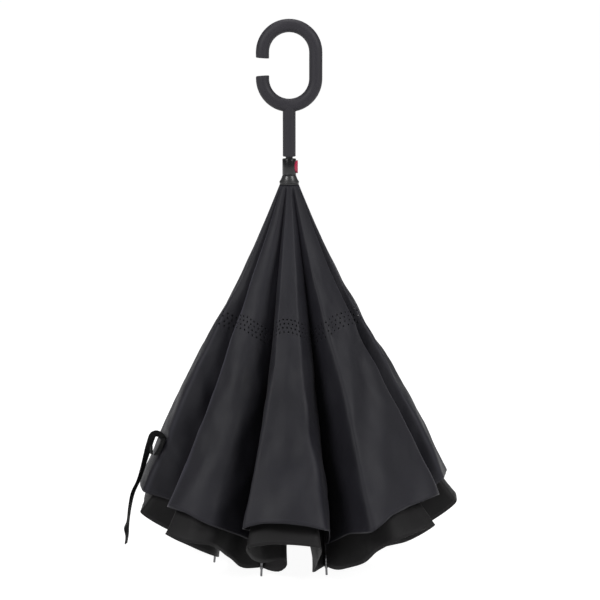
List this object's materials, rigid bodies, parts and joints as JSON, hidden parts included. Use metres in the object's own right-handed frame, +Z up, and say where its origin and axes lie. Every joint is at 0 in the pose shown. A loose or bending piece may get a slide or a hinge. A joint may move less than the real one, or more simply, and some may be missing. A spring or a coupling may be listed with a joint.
{
  "type": "inverted umbrella",
  "caption": "Closed reverse-folding umbrella with a C-shaped handle, sliding runner, hinged ribs and stretchers, and a double cloth canopy, standing on its rib tips.",
  "frame": {"origin": "on the shaft's axis, on the floor that the eight rib tips stand on", "axes": "+Z up along the shaft to the handle; -X is the side of the handle's mouth; +X is the side of the release button"},
  "size_m": [0.4674, 0.459, 0.7808],
  "materials": {
    "soft_grip": "soft-touch coating over a moulded handle, charcoal",
    "gloss_black": "polished black plastic",
    "button_red": "satin crimson plastic",
    "steel": "plain drawn steel",
    "black_frame": "black fibreglass and moulded plastic, satin",
    "shaft_black": "black lacquer on a steel tube",
    "tip_metal": "bright plated metal",
    "canopy_cloth": "black plain-woven canopy cloth with a faint sheen",
    "lining_cloth": "black plain-woven cloth, duller than the outer layer",
    "strap_ribbon": "black woven ribbon"
  },
  "bodies": {
    "shaft": {"c_handle": "soft_grip", "handle_pin": "steel", "shaft_tube": "shaft_black", "crown_hub": "black_frame", "ferrule": "black_frame"},
    "runner": {"runner_body": "gloss_black", "runner_cap": "gloss_black", "rib_hub": "black_frame", "button_spring": "steel"},
    "button": {"release_button": "button_red"},
    "rib_arm_1": {"rib_1": "black_frame", "rib_tip_1": "tip_metal"},
    "rib_arm_2": {"rib_2": "black_frame", "rib_tip_2": "tip_metal"},
    "rib_arm_3": {"rib_3": "black_frame", "rib_tip_3": "tip_metal"},
    "rib_arm_4": {"rib_4": "black_frame", "rib_tip_4": "tip_metal"},
    "rib_arm_5": {"rib_5": "black_frame", "rib_tip_5": "tip_metal"},
    "rib_arm_6": {"rib_6": "black_frame", "rib_tip_6": "tip_metal"},
    "rib_arm_7": {"rib_7": "black_frame", "rib_tip_7": "tip_metal"},
    "rib_arm_8": {"rib_8": "black_frame", "rib_tip_8": "tip_metal"},
    "strut_1": {"stretcher_1": "steel"},
    "strut_2": {"stretcher_2": "steel"},
    "strut_3": {"stretcher_3": "steel"},
    "strut_4": {"stretcher_4": "steel"},
    "strut_5": {"stretcher_5": "steel"},
    "strut_6": {"stretcher_6": "steel"},
    "strut_7": {"stretcher_7": "steel"},
    "strut_8": {"stretcher_8": "steel"},
    "canopy_1": {"outer_gore_1": "canopy_cloth", "inner_gore_1": "lining_cloth"},
    "canopy_2": {"outer_gore_2": "canopy_cloth", "inner_gore_2": "lining_cloth"},
    "canopy_3": {"outer_gore_3": "canopy_cloth", "inner_gore_3": "lining_cloth"},
    "canopy_4": {"outer_gore_4": "canopy_cloth", "inner_gore_4": "lining_cloth", "tie_strap": "strap_ribbon", "strap_loop": "strap_ribbon"},
    "canopy_5": {"outer_gore_5": "canopy_cloth", "inner_gore_5": "lining_cloth"},
    "canopy_6": {"outer_gore_6": "canopy_cloth", "inner_gore_6": "lining_cloth"},
    "canopy_7": {"outer_gore_7": "canopy_cloth", "inner_gore_7": "lining_cloth"},
    "canopy_8": {"outer_gore_8": "canopy_cloth", "inner_gore_8": "lining_cloth"},
    "cover_1": {"crown_gore_1": "lining_cloth"},
    "cover_2": {"crown_gore_2": "lining_cloth"},
    "cover_3": {"crown_gore_3": "lining_cloth"},
    "cover_4": {"crown_gore_4": "lining_cloth"},
    "cover_5": {"crown_gore_5": "lining_cloth"},
    "cover_6": {"crown_gore_6": "lining_cloth"},
    "cover_7": {"crown_gore_7": "lining_cloth"},
    "cover_8": {"crown_gore_8": "lining_cloth"}
  },
  "joints": [
    {"name": "runner_slide", "type": "slide", "parent": "shaft", "child": "runner", "axis": [0, 0, -1], "range_m": [0, 0.43815]},
    {"name": "button_press", "type": "slide", "parent": "runner", "child": "button", "axis": [-1, 0, 0], "range_m": [0, 0.0016], "stiffness_N_per_m": 400, "springref_m": -0.002, "deforming": ["button_spring"]},
    {"name": "rib_swing_1", "type": "hinge", "parent": "runner", "child": "rib_arm_1", "pos_m": [0.00827, 0.00403, 0.5405], "axis": [0.4384, -0.8988, 0], "range_deg": [0, 80.72]},
    {"name": "rib_swing_2", "type": "hinge", "parent": "runner", "child": "rib_arm_2", "pos_m": [0.003, 0.0087, 0.5405], "axis": [0.9455, -0.3256, 0], "range_deg": [0, 80.72]},
    {"name": "rib_swing_3", "type": "hinge", "parent": "runner", "child": "rib_arm_3", "pos_m": [-0.00403, 0.00827, 0.5405], "axis": [0.8988, 0.4384, 0], "range_deg": [0, 80.72]},
    {"name": "rib_swing_4", "type": "hinge", "parent": "runner", "child": "rib_arm_4", "pos_m": [-0.0087, 0.003, 0.5405], "axis": [0.3256, 0.9455, 0], "range_deg": [0, 80.72]},
    {"name": "rib_swing_5", "type": "hinge", "parent": "runner", "child": "rib_arm_5", "pos_m": [-0.00827, -0.00403, 0.5405], "axis": [-0.4384, 0.8988, 0], "range_deg": [0, 80.72]},
    {"name": "rib_swing_6", "type": "hinge", "parent": "runner", "child": "rib_arm_6", "pos_m": [-0.003, -0.0087, 0.5405], "axis": [-0.9455, 0.3256, 0], "range_deg": [0, 80.72]},
    {"name": "rib_swing_7", "type": "hinge", "parent": "runner", "child": "rib_arm_7", "pos_m": [0.00403, -0.00827, 0.5405], "axis": [-0.8988, -0.4384, 0], "range_deg": [0, 80.72]},
    {"name": "rib_swing_8", "type": "hinge", "parent": "runner", "child": "rib_arm_8", "pos_m": [0.0087, -0.003, 0.5405], "axis": [-0.3256, -0.9455, 0], "range_deg": [0, 80.72]},
    {"name": "strut_swing_1", "type": "hinge", "parent": "shaft", "child": "strut_1", "pos_m": [0.00669, 0.00727, 0.07235], "axis": [-0.4384, 0.8988, 0], "range_deg": [0, 62.04]},
    {"name": "strut_swing_2", "type": "hinge", "parent": "shaft", "child": "strut_2", "pos_m": [-0.00041, 0.00987, 0.07235], "axis": [-0.9455, 0.3256, 0], "range_deg": [0, 62.04]},
    {"name": "strut_swing_3", "type": "hinge", "parent": "shaft", "child": "strut_3", "pos_m": [-0.00727, 0.00669, 0.07235], "axis": [-0.8988, -0.4384, 0], "range_deg": [0, 62.04]},
    {"name": "strut_swing_4", "type": "hinge", "parent": "shaft", "child": "strut_4", "pos_m": [-0.00987, -0.00041, 0.07235], "axis": [-0.3256, -0.9455, 0], "range_deg": [0, 62.04]},
    {"name": "strut_swing_5", "type": "hinge", "parent": "shaft", "child": "strut_5", "pos_m": [-0.00669, -0.00727, 0.07235], "axis": [0.4384, -0.8988, 0], "range_deg": [0, 62.04]},
    {"name": "strut_swing_6", "type": "hinge", "parent": "shaft", "child": "strut_6", "pos_m": [0.00041, -0.00987, 0.07235], "axis": [0.9455, -0.3256, 0], "range_deg": [0, 62.04]},
    {"name": "strut_swing_7", "type": "hinge", "parent": "shaft", "child": "strut_7", "pos_m": [0.00727, -0.00669, 0.07235], "axis": [0.8988, 0.4384, 0], "range_deg": [0, 62.04]},
    {"name": "strut_swing_8", "type": "hinge", "parent": "shaft", "child": "strut_8", "pos_m": [0.00987, 0.00041, 0.07235], "axis": [0.3256, 0.9455, 0], "range_deg": [0, 62.04]},
    {"name": "canopy_fold_1", "type": "hinge", "parent": "rib_arm_1", "child": "canopy_1", "pos_m": [0.0066, 0.00746, 0.5405], "axis": [0.5212, 0.5891, -0.6175], "range_deg": [0, 57.4], "deforming": ["outer_gore_1", "inner_gore_1"]},
    {"name": "canopy_fold_2", "type": "hinge", "parent": "rib_arm_2", "child": "canopy_2", "pos_m": [-0.00061, 0.00994, 0.5405], "axis": [-0.048, 0.7851, -0.6175], "range_deg": [0, 57.4], "deforming": ["outer_gore_2", "inner_gore_2"]},
    {"name": "canopy_fold_3", "type": "hinge", "parent": "rib_arm_3", "child": "canopy_3", "pos_m": [-0.00746, 0.0066, 0.5405], "axis": [-0.5891, 0.5212, -0.6175], "range_deg": [0, 57.4], "deforming": ["outer_gore_3", "inner_gore_3"]},
    {"name": "canopy_fold_4", "type": "hinge", "parent": "rib_arm_4", "child": "canopy_4", "pos_m": [-0.00994, -0.00061, 0.5405], "axis": [-0.7851, -0.048, -0.6175], "range_deg": [0, 57.4], "deforming": ["outer_gore_4", "inner_gore_4", "tie_strap", "strap_loop"]},
    {"name": "canopy_fold_5", "type": "hinge", "parent": "rib_arm_5", "child": "canopy_5", "pos_m": [-0.0066, -0.00746, 0.5405], "axis": [-0.5212, -0.5891, -0.6175], "range_deg": [0, 57.4], "deforming": ["outer_gore_5", "inner_gore_5"]},
    {"name": "canopy_fold_6", "type": "hinge", "parent": "rib_arm_6", "child": "canopy_6", "pos_m": [0.00061, -0.00994, 0.5405], "axis": [0.048, -0.7851, -0.6175], "range_deg": [0, 57.4], "deforming": ["outer_gore_6", "inner_gore_6"]},
    {"name": "canopy_fold_7", "type": "hinge", "parent": "rib_arm_7", "child": "canopy_7", "pos_m": [0.00746, -0.0066, 0.5405], "axis": [0.5891, -0.5212, -0.6175], "range_deg": [0, 57.4], "deforming": ["outer_gore_7", "inner_gore_7"]},
    {"name": "canopy_fold_8", "type": "hinge", "parent": "rib_arm_8", "child": "canopy_8", "pos_m": [0.00994, 0.00061, 0.5405], "axis": [0.7851, 0.048, -0.6175], "range_deg": [0, 57.4], "deforming": ["outer_gore_8", "inner_gore_8"]},
    {"name": "cover_fold_1", "type": "hinge", "parent": "strut_1", "child": "cover_1", "pos_m": [0.0066, 0.00746, 0.07235], "axis": [-0.5792, -0.6547, -0.4856], "range_deg": [0, 45.5], "deforming": ["crown_gore_1"]},
    {"name": "cover_fold_2", "type": "hinge", "parent": "strut_2", "child": "cover_2", "pos_m": [-0.00061, 0.00994, 0.07235], "axis": [0.0534, -0.8726, -0.4856], "range_deg": [0, 45.5], "deforming": ["crown_gore_2"]},
    {"name": "cover_fold_3", "type": "hinge", "parent": "strut_3", "child": "cover_3", "pos_m": [-0.00746, 0.0066, 0.07235], "axis": [0.6547, -0.5792, -0.4856], "range_deg": [0, 45.5], "deforming": ["crown_gore_3"]},
    {"name": "cover_fold_4", "type": "hinge", "parent": "strut_4", "child": "cover_4", "pos_m": [-0.00994, -0.00061, 0.07235], "axis": [0.8726, 0.0534, -0.4856], "range_deg": [0, 45.5], "deforming": ["crown_gore_4"]},
    {"name": "cover_fold_5", "type": "hinge", "parent": "strut_5", "child": "cover_5", "pos_m": [-0.0066, -0.00746, 0.07235], "axis": [0.5792, 0.6547, -0.4856], "range_deg": [0, 45.5], "deforming": ["crown_gore_5"]},
    {"name": "cover_fold_6", "type": "hinge", "parent": "strut_6", "child": "cover_6", "pos_m": [0.00061, -0.00994, 0.07235], "axis": [-0.0534, 0.8726, -0.4856], "range_deg": [0, 45.5], "deforming": ["crown_gore_6"]},
    {"name": "cover_fold_7", "type": "hinge", "parent": "strut_7", "child": "cover_7", "pos_m": [0.00746, -0.0066, 0.07235], "axis": [-0.6547, 0.5792, -0.4856], "range_deg": [0, 45.5], "deforming": ["crown_gore_7"]},
    {"name": "cover_fold_8", "type": "hinge", "parent": "strut_8", "child": "cover_8", "pos_m": [0.00994, 0.00061, 0.07235], "axis": [-0.8726, -0.0534, -0.4856], "range_deg": [0, 45.5], "deforming": ["crown_gore_8"]}
  ],
  "couplings": [
    {"joint": "rib_swing_1", "follows": "runner_slide", "rad_per_m": 3.2151},
    {"joint": "rib_swing_2", "follows": "runner_slide", "rad_per_m": 3.2151},
    {"joint": "rib_swing_3", "follows": "runner_slide", "rad_per_m": 3.2151},
    {"joint": "rib_swing_4", "follows": "runner_slide", "rad_per_m": 3.2151},
    {"joint": "rib_swing_5", "follows": "runner_slide", "rad_per_m": 3.2151},
    {"joint": "rib_swing_6", "follows": "runner_slide", "rad_per_m": 3.2151},
    {"joint": "rib_swing_7", "follows": "runner_slide", "rad_per_m": 3.2151},
    {"joint": "rib_swing_8", "follows": "runner_slide", "rad_per_m": 3.2151},
    {"joint": "strut_swing_1", "follows": "runner_slide", "rad_per_m": 2.4711},
    {"joint": "strut_swing_2", "follows": "runner_slide", "rad_per_m": 2.4711},
    {"joint": "strut_swing_3", "follows": "runner_slide", "rad_per_m": 2.4711},
    {"joint": "strut_swing_4", "follows": "runner_slide", "rad_per_m": 2.4711},
    {"joint": "strut_swing_5", "follows": "runner_slide", "rad_per_m": 2.4711},
    {"joint": "strut_swing_6", "follows": "runner_slide", "rad_per_m": 2.4711},
    {"joint": "strut_swing_7", "follows": "runner_slide", "rad_per_m": 2.4711},
    {"joint": "strut_swing_8", "follows": "runner_slide", "rad_per_m": 2.4711},
    {"joint": "canopy_fold_1", "follows": "runner_slide", "rad_per_m": 2.2861},
    {"joint": "canopy_fold_2", "follows": "runner_slide", "rad_per_m": 2.2861},
    {"joint": "canopy_fold_3", "follows": "runner_slide", "rad_per_m": 2.2861},
    {"joint": "canopy_fold_4", "follows": "runner_slide", "rad_per_m": 2.2861},
    {"joint": "canopy_fold_5", "follows": "runner_slide", "rad_per_m": 2.2861},
    {"joint": "canopy_fold_6", "follows": "runner_slide", "rad_per_m": 2.2861},
    {"joint": "canopy_fold_7", "follows": "runner_slide", "rad_per_m": 2.2861},
    {"joint": "canopy_fold_8", "follows": "runner_slide", "rad_per_m": 2.2861},
    {"joint": "cover_fold_1", "follows": "runner_slide", "rad_per_m": 1.8121},
    {"joint": "cover_fold_2", "follows": "runner_slide", "rad_per_m": 1.8121},
    {"joint": "cover_fold_3", "follows": "runner_slide", "rad_per_m": 1.8121},
    {"joint": "cover_fold_4", "follows": "runner_slide", "rad_per_m": 1.8121},
    {"joint": "cover_fold_5", "follows": "runner_slide", "rad_per_m": 1.8121},
    {"joint": "cover_fold_6", "follows": "runner_slide", "rad_per_m": 1.8121},
    {"joint": "cover_fold_7", "follows": "runner_slide", "rad_per_m": 1.8121},
    {"joint": "cover_fold_8", "follows": "runner_slide", "rad_per_m": 1.8121}
  ]
}
